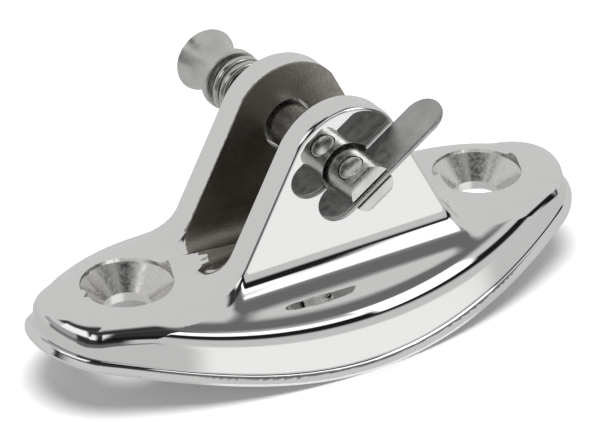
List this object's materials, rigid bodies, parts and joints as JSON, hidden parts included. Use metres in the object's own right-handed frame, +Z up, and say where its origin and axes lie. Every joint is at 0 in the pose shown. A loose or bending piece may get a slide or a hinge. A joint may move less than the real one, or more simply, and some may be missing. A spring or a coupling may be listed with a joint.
{
  "type": "canopy deck hinge",
  "caption": "Polished saddle-based deck hinge: a fork on a concave oval foot, with a sprung quick-release pin, pull knob and flip toggle.",
  "frame": {"origin": "crest of the concave underside, midway between the two screw holes", "axes": "+X along the rail and the line of the screws, +Y towards the pin's knob, +Z up out of the rail"},
  "size_m": [0.0844, 0.0464, 0.0355],
  "materials": {
    "polished_steel": "mirror-polished stainless casting, as-cast inside the fork",
    "satin_steel": "satin turned stainless",
    "tumbled_steel": "tumbled dark stainless",
    "spring_wire": "bright drawn wire"
  },
  "bodies": {
    "base": {"deck_base": "polished_steel"},
    "spring": {"return_spring": "spring_wire"},
    "pin": {"release_pin": "satin_steel", "pull_knob": "satin_steel", "toggle_rivet": "satin_steel"},
    "toggle": {"toggle_lever": "tumbled_steel"}
  },
  "joints": [
    {"name": "pin_spin", "type": "hinge", "parent": "base", "child": "spring", "pos_m": [0, 0, 0.0183], "axis": [0, 1, 0], "continuous": true},
    {"name": "pin_push", "type": "slide", "parent": "spring", "child": "pin", "axis": [0, -1, 0], "range_m": [0, 0.0052], "stiffness_N_per_m": 300, "springref_m": -0.003, "deforming": ["return_spring"]},
    {"name": "toggle_flip", "type": "hinge", "parent": "pin", "child": "toggle", "pos_m": [0, -0.0137, 0.0183], "axis": [0.5592, 0, -0.829], "range_deg": [0, 90]}
  ],
  "couplings": [
    {"joint": "toggle_flip", "follows": "pin_push", "rad_per_m": 302}
  ]
}
